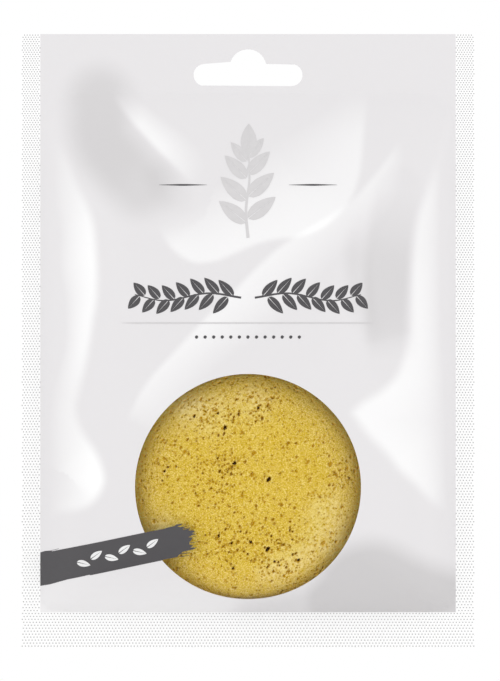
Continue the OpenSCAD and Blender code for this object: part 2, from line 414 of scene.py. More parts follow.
class Wire:
    """A node's output that takes part in Python expressions: each operator adds its Math node."""

    __add__, __radd__ = both_ways("ADD")
    __sub__, __rsub__ = both_ways("SUBTRACT")
    __mul__, __rmul__ = both_ways("MULTIPLY")
    __truediv__, __rtruediv__ = both_ways("DIVIDE")
    __pow__, __rpow__ = both_ways("POWER")
    __gt__, __lt__ = both_ways("GREATER_THAN")

    def __init__(self, graph, socket):
        self.graph = graph
        self.socket = socket

    def __abs__(self):
        return self.math("ABSOLUTE")

    def math(self, operation, *others):
        return self.graph.math(operation, self, *others)

    def above(self, low, gain):
        """How far the value is above a low one, steepened and kept between 0 and 1."""
        return ((self - low) * gain).clamped()

    def clamped(self):
        return self.math("MAXIMUM", 0).math("MINIMUM", 1)


# Numbers of the Mix node's factor, its two colours and its mixed colour
MIX_SHARE = 0
MIX_FIRST = 6
MIX_SECOND = 7
MIX_RESULT = 2


class Graph:
    """A node tree that is being built, for a material, the world or Geometry Nodes."""

    def __init__(self, tree):
        self.tree = tree

    def add(self, kind, settings=None, links=None, output=0):
        """Adds a node. Its settings come first, then the values or wires of its sockets."""
        node = self.tree.nodes.new(kind)
        for name, value in (settings or {}).items():
            setattr(node, name, value)
        for key, value in (links or {}).items():
            if isinstance(value, Wire):
                self.tree.links.new(value.socket, node.inputs[key])
            else:
                node.inputs[key].default_value = value
        return Wire(self, node.outputs[output]) if len(node.outputs) else node

    def math(self, operation, *values):
        return self.add("ShaderNodeMath", {"operation": operation}, dict(enumerate(values)))

    def vector(self, operation, *values, output=0):
        return self.add("ShaderNodeVectorMath", {"operation": operation}, dict(enumerate(values)), output)

    def joined(self, x=0.0, y=0.0, z=0.0):
        """A vector from its three numbers."""
        return self.add("ShaderNodeCombineXYZ", None, {"X": x, "Y": y, "Z": z})

    def parts(self, vector):
        """The three numbers of a vector."""
        split = self.tree.nodes.new("ShaderNodeSeparateXYZ")
        self.tree.links.new(vector.socket, split.inputs[0])
        return [Wire(self, socket) for socket in split.outputs]

    def mix(self, share, first, second):
        """A colour between two others."""
        settings = {"data_type": "RGBA", "clamp_factor": True}
        links = {MIX_SHARE: share, MIX_FIRST: first, MIX_SECOND: second}
        return self.add("ShaderNodeMix", settings, links, MIX_RESULT)

    def painted(self, colour, share, paint):
        """A colour with a share of another, from the settings, laid over it."""
        return self.mix(share, colour, (*paint, 1))

    def place(self):
        """The point's place on the piece, in metres."""
        return self.add("ShaderNodeTexCoord", output="Object")

    def noise(self, size, detail=2.0, place=None, output=0):
        """Noise from 0 to 1 whose lumps are about size metres across."""
        links = {"Vector": place or self.place(), "Scale": 1 / size, "Detail": detail}
        return self.add("ShaderNodeTexNoise", None, links, output)

    def given(self, name):
        """A number that each point of the mesh carries."""
        return self.add("ShaderNodeAttribute", {"attribute_name": name}, output="Fac")

    def bump(self, height, depth):
        """A normal for a relief that is depth metres deep."""
        return self.add("ShaderNodeBump", None, {"Height": height, "Distance": depth})

    def principled(self, links):
        """Ends a material in a Principled shader."""
        self.output(self.add("ShaderNodeBsdfPrincipled", None, links))

    def output(self, surface):
        self.add("ShaderNodeOutputMaterial", None, {"Surface": surface})


def grey(level):
    """A linear colour for a plain grey."""
    return (level, level, level, 1)


def from_screen(red, green, blue):
    """A linear colour from the 0 to 255 values of a screen."""
    values = [value / 255 for value in (red, green, blue)]
    return (*(v / 12.92 if v <= 0.04045 else ((v + 0.055) / 1.055) ** 2.4 for v in values), 1)


def new_material(name):
    """An empty node material, and the graph to build it with."""
    material = bpy.data.materials.new(name)
    material.use_nodes = True
    material.node_tree.nodes.clear()
    return material, Graph(material.node_tree)


FILM_DRIFT = 0.1
FILM_SHEEN_SPREAD = 0.06
FILM_IOR = 1.46


def film_material(name, film):
    """Glossy printed film. Its pleats and hollows are raised and sunk a little, and their highlight and
    shade are painted into its colour.
    """
    material, graph = new_material(name)
    drift = graph.noise(film.drift_size, detail=1.0)
    fold = graph.given("fold")
    colour = graph.mix((drift - 0.5) * FILM_DRIFT + 0.5, (*film.colour, 1), (*film.colour_drift, 1))
    # Painted highlight on the pleats and painted shade in the hollows, laid on by the fold value
    colour = graph.painted(colour, fold.math("MAXIMUM", 0), film.pleat_highlight)
    colour = graph.painted(colour, fold.math("MINIMUM", 0) * -1, film.hollow_shade)
    ripple = graph.noise(film.ripple_size, detail=1.5)
    graph.principled({
        "Base Color": colour,
        "Roughness": (drift - 0.5) * FILM_SHEEN_SPREAD + film.roughness,
        "Normal": graph.bump(ripple, film.ripple_depth),
        "IOR": FILM_IOR,
    })
    return material


CLEAR_ROUGHNESS = 0.12
CLEAR_HAZE = 0.3
CLEAR_MOST_GLOSS = 0.05


def clear_material(film):
    """Clear film: seen through, with the gloss of a thin smooth sheet."""
    material, graph = new_material("clear film")
    gloss = graph.add("ShaderNodeBsdfGlossy", None, {"Color": grey(1), "Roughness": CLEAR_ROUGHNESS})
    through = graph.add("ShaderNodeBsdfTransparent", None, {"Color": grey(1)})
    edge = graph.add("ShaderNodeFresnel", None, {"IOR": film.clear_ior})
    haze = (graph.noise(film.drift_size, detail=1.0) - 0.5) * CLEAR_HAZE + 1
    share = (edge * haze).math("MINIMUM", CLEAR_MOST_GLOSS)
    graph.output(graph.add("ShaderNodeMixShader", None, {0: share, 1: through, 2: gloss}))
    return material


def clouded_material(name, size, first, second, roughness, spread, detail=3.0, relief=0):
    """A plain finish whose tone and sheen drift between two bounds, and whose face may be uneven."""
    material, graph = new_material(name)
    cloud = graph.noise(size, detail)
    links = {"Base Color": graph.mix(cloud, first, second), "Roughness": cloud * spread + roughness}
    if relief:
        links["Normal"] = graph.bump(graph.noise(size * WELD_GRAIN_SHARE), relief)
    graph.principled(links)
    return material


WELD_ROUGHNESS = 0.32
WELD_RELIEF = 0.02
WELD_GRAIN_SHARE = 0.25
WELD_CLOUD = 0.02
STUD_ROUGHNESS = 0.4
STUD_CLOUD = 0.03
SEAL_SHEEN_SPREAD = 0.1


def seal_material(seal):
    """White film, welded through, with the faint cloudiness of the weld."""
    tones = grey(seal.white), grey(seal.white - WELD_CLOUD)
    sheen = WELD_ROUGHNESS, SEAL_SHEEN_SPREAD
    return clouded_material("welded film", seal.cloud_size, *tones, *sheen, relief=WELD_RELIEF * MM)


def stud_material(seal):
    """The knurl's dots, painted grey as the shade of the knurl's embossing."""
    tones = grey(seal.stud_shade_grey - STUD_CLOUD), grey(seal.stud_shade_grey + STUD_CLOUD)
    sheen = STUD_ROUGHNESS, SEAL_SHEEN_SPREAD
    return clouded_material("pressed weld", seal.cloud_size, *tones, *sheen, detail=2.0)


INK_GRAIN = 1.6
INK_SHADE = 0.9
INK_ROUGHNESS = 0.35
INK_SHEEN_SPREAD = 0.12


def ink_material(name, ink):
    """Printed ink, with the slight unevenness of a thin coat."""
    tones = (*ink, 1), (*(channel * INK_SHADE for channel in ink), 1)
    return clouded_material(name, INK_GRAIN * MM, *tones, INK_ROUGHNESS, INK_SHEEN_SPREAD)


# How strongly the foam's grain and crumb part cream from straw, and how the rim calms them
GRAIN_GAIN = 4.2
CRUMB_GAIN = 0.6
RIM_CALM = 0.55

# The palest glints of the cell walls, and the pale and the deeper patches
GLINT_START = 0.57
GLINT_GAIN = 6
GLINT_SHARE = 0.72
DEEP_GAIN = 1.2
PALE_CRUMB_GAIN = 3
PALE_START = 0.1
PALE_SHARE = 0.75

# Fine specks in the foam's cells: their reach from a cell's middle, and their depth of tone,
# each with what a crowd of pores adds to it. That depth is painted shade, in the brown of a pore.
CELL_SHIFT = 0.45
SPECK_REACH = 0.465
SPECK_CROWD_REACH = 0.14
SPECK_START = 0.05
SPECK_GAIN = 9
SPECK_DEPTH = 0.16
SPECK_CROWD_DEPTH = 0.4

# The tones down a pore, painted shade that darkens with its depth: the depth at which each sets in, how
# steeply, and its greatest share
PORE_TONES = ((0, 1.7, 0.85, "amber_colour"), (0.5, 3, 1, "pore_shade_colour"), (0.72, 6, 1, "deep_pore_shade"))

# How steeply the tones change to the rim: the ring of painted light, the painted light spread inside it,
# the painted shade of the low side, and the bluer tint
RIM_POWER = 6
RIM_LIGHT_SPREAD = 0.2
LOW_POWER = 8
TINT_POWER = 0.5

CRUMB_RELIEF = 0.5
GRAIN_RELIEF = 0.4
SPECK_RELIEF = 0.6
FOAM_ROUGHNESS = 0.72
FOAM_SHEEN_SPREAD = 0.15
FOAM_SPECULAR = 0.06


def foam_cells(graph, place, foam):
    """Each point's distance from the middle of its ragged foam cell, and the cell's own chance."""
    ragged = graph.noise(foam.grain_size, detail=1.0, place=place, output="Color")
    spot = graph.vector("MULTIPLY_ADD", ragged, (foam.cell_size * CELL_SHIFT,) * 3, place)
    links = {"Vector": spot, "Scale": 1 / foam.cell_size}
    away = graph.add("ShaderNodeTexVoronoi", None, links, output="Distance")
    chance = graph.parts(graph.add("ShaderNodeTexVoronoi", None, links, output="Color"))[0]
    return away, chance


def rim_painted_light(graph, colour, x, up, rim, foam):
    """The foam's colour, paler toward the window's rim as painted light, more so at the upper left, bluer
    there, and darker at its lowest point as painted shade.
    """
    tilt = (up - x) * foam.rim_tilt + 1
    # Painted light: paler toward the rim, more so at the upper left
    gain = (rim ** RIM_POWER) * tilt * foam.rim_light + rim * RIM_LIGHT_SPREAD + 1
    # Painted shade at the window's lowest point
    gain = gain - rim * (up * -1).math("MAXIMUM", 0) ** LOW_POWER * foam.low_shade
    colour = graph.add("ShaderNodeVectorMath", {"operation": "SCALE"}, {0: colour, "Scale": gain})
    return graph.mix(rim ** TINT_POWER, colour, graph.vector("MULTIPLY", colour, foam.rim_tint))


def foam_material(foam):
    """Konjac foam: a straw-yellow crumb with cream in it, amber pores that darken with depth as painted
    shade, and painted light that pales it toward the rim.
    """
    material, graph = new_material("konjac foam")
    place = graph.place()
    pore = graph.given("pore")
    crowd = graph.given("crowd")
    crumb = graph.noise(foam.crumb_size, place=place)
    grain = graph.noise(foam.grain_size, detail=1.0, place=place)
    drift = graph.noise(foam.patch_size, place=place)
    away, chance = foam_cells(graph, place, foam)
    x, _, z = graph.parts(place)
    x = x / (WINDOW_R * MM)
    up = (z - WINDOW_Z * MM) / (WINDOW_R * MM)
    rim_start = foam.rim_start / (WINDOW_R * MM)
    rim = (x * x + up * up).math("SQRT").above(rim_start, 1 / (1 - rim_start))
    calm = 1 - (rim ** 2) * RIM_CALM
    cream = ((grain - 0.5) * GRAIN_GAIN + (crumb - 0.5) * CRUMB_GAIN) * calm + 0.5
    glint = ((grain - GLINT_START) * GLINT_GAIN * calm).clamped()
    reach = chance * (crowd * SPECK_CROWD_REACH + SPECK_REACH) - SPECK_START
    speck = ((reach - away) * SPECK_GAIN * calm).clamped()
    specked = speck * foam.speck_share
    pale = graph.given("pale") * ((crumb - 0.5) * PALE_CRUMB_GAIN + drift + PALE_START)
    colour = graph.mix(cream.clamped(), (*foam.foam_colour, 1), (*foam.wall_colour, 1))
    colour = graph.painted(colour, drift.above(0.5, DEEP_GAIN), foam.foam_deep)
    # Creamier patches, with painted light over the brush band's shadow and painted highlights on the pores'
    # brims
    colour = graph.painted(colour, pale.clamped() * PALE_SHARE, foam.pale_colour)
    colour = graph.painted(colour, glint * GLINT_SHARE, foam.pale_colour)
    colour = graph.painted(colour, specked, foam.amber_colour)
    # Painted shade at the heart of the deeper specks, in a pore's brown
    deeper = specked * chance * (crowd * SPECK_CROWD_DEPTH + SPECK_DEPTH)
    colour = graph.painted(colour, deeper, foam.pore_shade_colour)
    # Painted shade down each pore, the darker the deeper it is
    for start, gain, most, tone in PORE_TONES:
        colour = graph.painted(colour, pore.above(start, gain) * most, getattr(foam, tone))
    relief = crumb * CRUMB_RELIEF + grain * GRAIN_RELIEF - speck * SPECK_RELIEF
    graph.principled({
        "Base Color": rim_painted_light(graph, colour, x, up, rim, foam),
        "Roughness": crumb * FOAM_SHEEN_SPREAD + FOAM_ROUGHNESS,
        "Normal": graph.bump(relief, foam.crumb_depth),
        "Specular IOR Level": FOAM_SPECULAR,
    })
    return material


FLOOR_FADE_SHARE = 0.5
FLOOR_GRAIN = 40
FLOOR_GREYS = (0.95, 0.93)
FLOOR_ROUGHNESS = 0.7


def floor_material(stage):
    """A plain pale floor that fades out at its rim."""
    material, graph = new_material("pale floor")
    place = graph.place()
    away = graph.vector("LENGTH", place, output="Value")
    grain = graph.noise(FLOOR_GRAIN * MM, place=place)
    graph.principled({
        "Base Color": graph.mix(grain, *map(grey, FLOOR_GREYS)),
        "Roughness": FLOOR_ROUGHNESS,
        "Alpha": ((stage.floor_radius - away) / (stage.floor_radius * FLOOR_FADE_SHARE)).clamped(),
    })
    return material


INPUT_KINDS = {float: "Float", int: "Int", bpy.types.Material: "Material"}


def start_tree(name, values):
    """A Geometry Nodes tree with a named input for each value: its graph and its input wires."""
    tree = bpy.data.node_groups.new(name, "GeometryNodeTree")
    for flow in ("INPUT", "OUTPUT"):
        tree.interface.new_socket("Geometry", in_out=flow, socket_type="NodeSocketGeometry")
    for key, value in values.items():
        kind = f"NodeSocket{INPUT_KINDS[type(value)]}"
        tree.interface.new_socket(key, in_out="INPUT", socket_type=kind)
    graph = Graph(tree)
    inlet = tree.nodes.new("NodeGroupInput")
    return graph, {socket.name: Wire(graph, socket) for socket in inlet.outputs if socket.name}


def end_tree(graph, geometry, material):
    """Every tree ends in real geometry with its material on."""
    real = graph.add("GeometryNodeRealizeInstances", None, {"Geometry": geometry})
    dressed = graph.add("GeometryNodeSetMaterial", None, {"Geometry": real, "Material": material})
    graph.add("NodeGroupOutput", None, {"Geometry": dressed})
    return graph.tree


def grow(obj, tree, values, thickness=0):
    """Runs a Geometry Nodes tree on an object, and keeps the result as its plain mesh."""
    modifier = obj.modifiers.new(tree.name, "NODES")
    modifier.node_group = tree
    for item in tree.interface.items_tree:
        if item.in_out == "INPUT" and item.name in values:
            modifier[item.identifier] = values[item.name]
    if thickness:
        body = obj.modifiers.new("thickness", "SOLIDIFY")
        body.thickness = thickness
        body.offset = -1
    depsgraph = bpy.context.evaluated_depsgraph_get()
    made = bpy.data.meshes.new_from_object(
        obj.evaluated_get(depsgraph), preserve_all_data_layers=True, depsgraph=depsgraph
    )
    obj.modifiers.clear()
    obj.data = made
    made.set_sharp_from_angle(angle=SHARP_ANGLE)


def web_tree(values):
    """Lifts a flat sheet onto the pillow of the filled sachet, with its folds."""
    graph, inlet = start_tree("pillow_web", values)
    x, _, z = graph.parts(graph.add("GeometryNodeInputPosition"))
    up = z - inlet["Window Height"]
    above = up > 0
    end = inlet["Reach Up"] * above + inlet["Reach Down"] * (1 - above)
    corner = inlet["Corner"]
    across = (abs(x) / inlet["Half Width"]) ** corner
    along = (abs(up) / end) ** corner
    share = ((across + along) ** (1 / corner)).math("MINIMUM", 1)
    radius = (x * x + up * up).math("SQRT").math("MAXIMUM", SMALL)
    crowding = inlet["Crowding"] * (inlet["Sponge Radius"] * share / radius) ** inlet["Crowding Power"]
    pillow = 1 - share ** (inlet["Fullness"] + crowding)
    swell = (pillow * inlet["Flat"]).math("SMOOTH_MIN", 1, FLAT_BLEND_SHARE)
    fold = graph.add("GeometryNodeInputNamedAttribute", {"data_type": "FLOAT"}, {"Name": "fold"})
    depth = inlet["Depth"] * swell + fold * inlet["Fold"] * pillow
    depth = depth.math("MINIMUM", inlet["Depth"]) + inlet["Lift"]
    links = {"Geometry": inlet["Geometry"], "Position": graph.joined(x, depth * inlet["Side"], z)}
    return end_tree(graph, graph.add("GeometryNodeSetPosition", None, links), inlet["Material"])


STUD_SIDES = 6
STUD_TOP_SHARE = 0.6
EDGE_ROOM_SHARE = 0.3
PRINT_OVERLAP_SHARE = 0.08


def knurl_tree(values):
    """Studs in staggered rows that spread from the top down, left out where the print covers them."""
    graph, inlet = start_tree("knurl", values)
    index = graph.add("GeometryNodeInputIndex")
    columns = inlet["Columns"]
    row = (index / columns).math("FLOOR")
    column = index - row * columns
    growth = inlet["Row Growth"]
    left_over = 1 - (row + 0.5) * inlet["Row Pitch"] * growth
    down = left_over.math("LOGARITHM", math.e) / growth * -1
    pitch = inlet["Column Pitch"] * (down * inlet["Column Growth"]).math("EXPONENT")
    x = (column - columns / 2 + row.math("MODULO", 2) * 0.5) * pitch
    z = inlet["Top"] - down
    place = graph.joined(x, inlet["Face"] * inlet["Side"], z)
    links = {"Count": inlet["Rows"] * columns, "Position": place}
    points = graph.add("GeometryNodePoints", None, links)
    edge = pitch * EDGE_ROOM_SHARE
    overlap = pitch * PRINT_OVERLAP_SHARE
    printed = (inlet["Print Half Width"] + overlap > abs(x)) * (z > inlet["Print Bottom"] - overlap)
    outside = (abs(x) > inlet["Half Width"] - edge) + (inlet["Bottom"] + edge > z)
    links = {"Geometry": points, "Selection": printed + outside > 0.5}
    kept = graph.add("GeometryNodeDeleteGeometry", {"domain": "POINT"}, links)
    vector = {"data_type": "FLOAT_VECTOR"}
    links = {"Geometry": kept, "Name": "size", "Value": graph.joined(pitch, pitch, pitch)}
    kept = graph.add("GeometryNodeStoreNamedAttribute", vector, links)
    stud = graph.add("GeometryNodeMeshCone", {"fill_type": "NGON"}, {
        "Vertices": STUD_SIDES, "Radius Top": inlet["Stud Share"] * STUD_TOP_SHARE,
        "Radius Bottom": inlet["Stud Share"], "Depth": inlet["Stud Height"],
    })
    studs = graph.add("GeometryNodeInstanceOnPoints", None, {
        "Points": kept, "Instance": stud, "Rotation": graph.joined(inlet["Side"] * (-math.pi / 2)),
        "Scale": graph.add("GeometryNodeInputNamedAttribute", vector, {"Name": "size"}),
    })
    return end_tree(graph, studs, inlet["Material"])


def lay_sheet(name, loops, spacing, material, film, replaced=(), side=FRONT, lift=0, thickness=0):
    """Fills flat loops, and lays the sheet on its side of the pillow, with its folds and thickness."""
    points, faces = fill(loops, spacing)
    x, z = points.T
    made = new_mesh(name, np.column_stack([x, x * 0, z]), faces if side == FRONT else faces[:, ::-1])
    give_values(made, "fold", folds(x, z, side))
    values = {
        "Half Width": POCKET_HALF * MM, "Reach Up": (POCKET_TOP_Z - WINDOW_Z) * MM,
        "Reach Down": (WINDOW_Z - POCKET_LOW_Z) * MM, "Window Height": WINDOW_Z * MM,
        "Sponge Radius": SPONGE_R * MM, "Depth": (FRONT_DEPTH if side == FRONT else BACK_DEPTH) * MM,
        "Flat": 1.0 if side == FRONT else FLAT_SHARE, "Fullness": FULLNESS_SHARE,
        "Crowding": CROWDING_SHARE, "Crowding Power": CROWDING_POWER_SHARE, "Corner": film.corner,
        "Fold": film.fold_height, "Lift": (FILM_T + lift) * MM, "Side": float(side), "Material": material,
    }
    tree = bpy.data.node_groups.get("pillow_web") or web_tree(values)
    grow(made, tree, values, thickness or film.thickness)
    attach(made, "root")
    if replaced:
        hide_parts(*replaced)


def slot_loop(step):
    """The hang slot's outline, anticlockwise."""
    end_r = SLOT_BAR_H / 2
    end_x = SLOT_W / 2 - end_r
    meet = math.degrees(math.asin((end_r - CROWN_RISE) / CROWN_R))
    corners = np.vstack([
        arc(end_x, -CROWN_RISE, end_r, -90, 90, step),
        arc(0, 0, CROWN_R, meet, 180 - meet, step),
        arc(-end_x, -CROWN_RISE, end_r, 90, 270, step),
    ])
    return closed_line(corners, step)


def web_loops(step, *holes):
    """The outline of a web from the bottom seal to the top edge, and its holes, clockwise."""
    outline = [
        (-POCKET_HALF, POCKET_LOW_Z), (POCKET_HALF, POCKET_LOW_Z),
        (POCKET_HALF, TOP_Z), (-POCKET_HALF, TOP_Z),
    ]
    holes = [slot_loop(step * SLOT_STEP_SHARE), *holes]
    return [closed_line(outline, step), *(hole[::-1] for hole in holes)]


def make_webs(film):
    """The printed front web, the clear window in it, and the plain back web."""
    fine, coarse = film.spacing / MM, film.back_spacing / MM
    window = circle(0, WINDOW_Z, WINDOW_R, fine)
    loops = web_loops(fine, window)
    printed = film_material("printed film", film)
    lay_sheet("front_web", loops, fine, printed, film, ("front_film", "header"))
    clear = clear_material(film)
    lay_sheet("clear_window", [window], fine, clear, film, ("window_pane",))
    loops = web_loops(coarse)
    plain = film_material("plain film", film)
    lay_sheet("back_web", loops, coarse, plain, film, ("back_film",), side=BACK)


def make_knurl(seal, side):
    """The studs on one face of the three welded seals."""
    seed = new_mesh("front_knurl" if side == FRONT else "back_knurl", [(0, 0, 0)] * 3, [(0, 1, 2)])
    row_share = 1 - math.exp((BOTTOM_Z - TOP_Z) * seal.row_growth)
    values = {
        "Rows": math.ceil(row_share / (seal.row_pitch / MM * seal.row_growth)),
        "Columns": math.ceil(2 * SACHET_HALF / (seal.column_pitch / MM)) + 1,
        "Row Pitch": seal.row_pitch, "Row Growth": seal.row_growth / MM,
        "Column Pitch": seal.column_pitch, "Column Growth": seal.column_growth / MM,
        "Top": TOP_Z * MM, "Half Width": SACHET_HALF * MM, "Bottom": BOTTOM_Z * MM,
        "Print Half Width": POCKET_HALF * MM, "Print Bottom": POCKET_LOW_Z * MM,
        "Face": FILM_T * MM, "Side": float(side), "Stud Share": seal.stud_share,
        "Stud Height": seal.stud_height, "Material": stud_material(seal),
    }
    grow(seed, bpy.data.node_groups.get("knurl") or knurl_tree(values), values)
    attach(seed, "root")


def dress_seals(seal):
    """The plain welds stay the frame's own plates, in the white of the welded film."""
    weld = seal_material(seal)
    for name in ("left_seal", "right_seal", "bottom_seal"):
        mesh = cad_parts[name].data
        mesh.materials.clear()
        mesh.materials.append(weld)


def turned(points, x, z, angle):
    """Points moved to (x, z), turned by an angle in degrees."""
    c, s = math.cos(math.radians(angle)), math.sin(math.radians(angle))
    u, v = np.asarray(points, float).T
    return np.column_stack([x + u * c - v * s, z + u * s + v * c])


# How far printed ink stands off the film, to the outer face of the ink
INK_LIFT = 0.06

# A leaf's points, where its blades start, the swell of its edge, and the gap at its midrib
LEAF_POINTS = 14
LEAF_START = 0.03
LEAF_SWELL = 0.8
LEAF_GAP = 0.12

# A rule's points and the share of its thickness at its ends, and the share at a stem's tip
RULE_POINTS = 24
RULE_TIP_SHARE = 0.12
STEM_TIP_SHARE = 0.4


def leaf(x, z, angle, length, width):
    """A leaf from its foot, as two blades with the midrib's gap between them."""
    along = np.linspace(LEAF_START, 1, LEAF_POINTS)
    rib = LEAF_GAP * (1 - along)
    edge = width / 2 * np.sin(np.pi * along**LEAF_SWELL) ** LEAF_SWELL + rib / 2
    along = along * length
    upper = np.vstack([np.column_stack([along, rib]), np.column_stack([along, edge])[-2:0:-1]])
    lower = (upper * (1, -1))[::-1]
    return [turned(blade, x, z, angle) for blade in (upper, lower)]


def rule(x0, x1, z, thickness, taper):
    """A rule that thins toward both ends."""
    along = np.linspace(0, 1, RULE_POINTS)
    half = thickness / 2 * np.minimum(1, np.minimum(along, 1 - along) / taper + RULE_TIP_SHARE)
    top = np.column_stack([x0 + (x1 - x0) * along, z + half])
    low = np.column_stack([x0 + (x1 - x0) * along, z - half])
    return np.vstack([low, top[::-1]])


def stem(points, thickness):
    """A thin strip along a curve, that thins toward its tip."""
    path = smooth_path(points)[:, :2]
    step = np.gradient(path, axis=0)
    across = np.column_stack([-step[:, 1], step[:, 0]]) / np.hypot(*step.T)[:, None]
    half = thickness / 2 * np.linspace(1, STEM_TIP_SHARE, len(path))[:, None]
    return np.vstack([path - across * half, (path + across * half)[::-1]])


def make_print(name, loops, ink, film, lift=INK_LIFT, replaced=()):
    """A printed mark on the front web, as a thin skin of ink."""
    spacing = film.mark_spacing / MM
    loops = [closed_line(loop, spacing) for loop in loops]
    lay_sheet(name, loops, spacing, ink, film, replaced, lift=lift, thickness=film.ink_thickness)


# The brush band's outline: along its 12 degree slant, and across it, from the left seal
BRUSH_ANGLE = 12.0
BRUSH_FOOT = (-60.9, -147.08)
BRUSH_OUTLINE = (
    (1, 4.85), (2.4, 5), (4.2, 4.8), (4.6, 4.5), (8, 4.5), (18.6, 4.4), (32, 4.4), (38.1, 4.3), (39, 4.4),
    (41.5, 4.5), (41.8, 4.8), (43.4, 4.7), (43.5, 4.3), (42.1, 4.2), (43.1, 3.7), (44.5, 3.3), (43.3, 3.2),
    (43.6, 2.8), (45.7, 2.9), (44.9, 2.4), (46.3, 2.1), (46.9, 1.5), (45.8, 1.4), (47.1, 0.8), (45.7, 0.8),
    (44.5, 0.4), (45.8, 0.1), (45, -0.8), (44.5, -1.1), (44.5, -1.8), (45.6, -2.4), (44.4, -2.6),
    (46.6, -3.1), (45.1, -3.3), (44.3, -3.4), (42.2, -3.3), (41.6, -3.7), (40.6, -4.2), (40.3, -4.6),
    (36.2, -4.5), (35.3, -4.6), (22.7, -4.6), (14.3, -4.6), (13.9, -4.4), (10.9, -4.45), (7.2, -4.45),
    (1.9, -4.85), (-1, -4.75),
)

# Stray streaks at the band's ragged end, as two ends each, and their half width
BRUSH_STREAKS = (
    (41, -3.9, 44.4, -4.2), (40.8, -4.5, 43.8, -4.8), (45, -1.4, 47.2, -1.4), (43.8, 4.1, 44.7, 4.2),
    (45.8, 0.3, 47, 0.2), (45.2, 3.8, 45.5, 3.8), (3.8, 4.72, 6.6, 4.86),
)
STREAK_HALF = 0.05

# Bristle tips: the rows that they span and shift in, their foot, half widths and reach
BRISTLE_LOW = -4.6
BRISTLE_HIGH = 4.4
BRISTLE_SHIFT = 0.15
BRISTLE_FOOT = 41.5
BRISTLE_HALF = (0.08, 0.2)
BRISTLE_REACH = 45.2
BRISTLE_SPREAD = (-1, 1.9)
BRISTLE_FALL = 2.6
BRISTLE_TIP = 0.02


def make_brush_mark(film, marks):
    """The dark brush band by the window, with its ragged end. Returns its ink."""
    loops = [turned(BRUSH_OUTLINE, *BRUSH_FOOT, BRUSH_ANGLE)[::-1]]
    strips = [(u0, v0, u1, v1, STREAK_HALF, STREAK_HALF) for u0, v0, u1, v1 in BRUSH_STREAKS]
    rng = np.random.default_rng(marks.seed)
    for v in np.linspace(BRISTLE_LOW, BRISTLE_HIGH, marks.bristles):
        v += rng.uniform(-BRISTLE_SHIFT, BRISTLE_SHIFT)
        half = rng.uniform(*BRISTLE_HALF)
        tip = BRISTLE_REACH + rng.uniform(*BRISTLE_SPREAD) - (v / BRISTLE_LOW) ** 4 * BRISTLE_FALL
        strips.append((BRISTLE_FOOT, v, tip, v, half, BRISTLE_TIP))
    for u0, v0, u1, v1, start, end in strips:
        strip = [(u0, v0 - start), (u1, v1 - end), (u1, v1 + end), (u0, v0 + start)]
        loops.append(turned(strip, *BRUSH_FOOT, BRUSH_ANGLE))
    for loop in loops:
        loop[:, 0] = np.maximum(loop[:, 0], -POCKET_HALF)
    ink = ink_material("dark ink", marks.dark_ink)
    make_print("brush_mark", loops, ink, film, replaced=("brush_stroke",))
    return ink


# The pale sprig: its stem, and its leaves as foot, angle, length and width
SPRIG_STEM = ((0, -50), (-0.6, -42), (0.4, -33), (0.2, -25))
SPRIG_STEM_W = 0.9
SPRIG_LEAVES = (
    (0.2, -25.5, 90, 9, 4.6), (-0.2, -44.5, 38, 10.5, 4.41), (-0.2, -45.7, 142, 10.5, 4.41),
    (-0.2, -38, 42, 10.5, 4.41), (-0.2, -39.2, 138, 10.5, 4.41), (-0.2, -31.5, 46, 9.5, 3.99),
    (-0.2, -32.7, 134, 9.5, 3.99), (-0.2, -26.5, 50, 7.5, 3.15), (-0.2, -27.7, 130, 7.5, 3.15),
)

# The pale rule below the garland, and the dark rules beside the sprig: both ends, height,
# thickness, and the share of the length over which an end thins
PALE_RULE = (-36.9, 36.9, -74.9, 0.45, 0.02)
DARK_RULES = ((-26, -12, -34.5, 0.5, 0.5), (12, 26, -34.5, 0.5, 0.5))

# Each half of the dark garland: its stem, and leaves that start at x, a step apart and ever shorter
GARLAND_STEM = ((2, -67.5), (12, -66.2), (24, -68.4), (33, -66.6))
GARLAND_STEM_W = 0.6
GARLAND_PAIRS = 7
GARLAND_X = 4.2
GARLAND_STEP = 4.3
GARLAND_Z = -67.2
GARLAND_WAVE = 0.9
GARLAND_WAVE_TURN = 1.1
GARLAND_STAGGER = 1.6
GARLAND_LEAN = 48
GARLAND_LEAF = (6.6, 2.7)
GARLAND_SHORTER = 0.25

# The row of dots under the garland: count, half length, height, radius and step of their outline
DOT_COUNT = 13
DOT_REACH = 15
DOT_Z = -79
DOT_R = 0.5
DOT_STEP = 0.3

# The white leaves along the brush band
WHITE_COUNT = 6
WHITE_X = 11
WHITE_STEP = 4.2
WHITE_LEAN = 24
WHITE_LEAF = (4.2, 1.8)


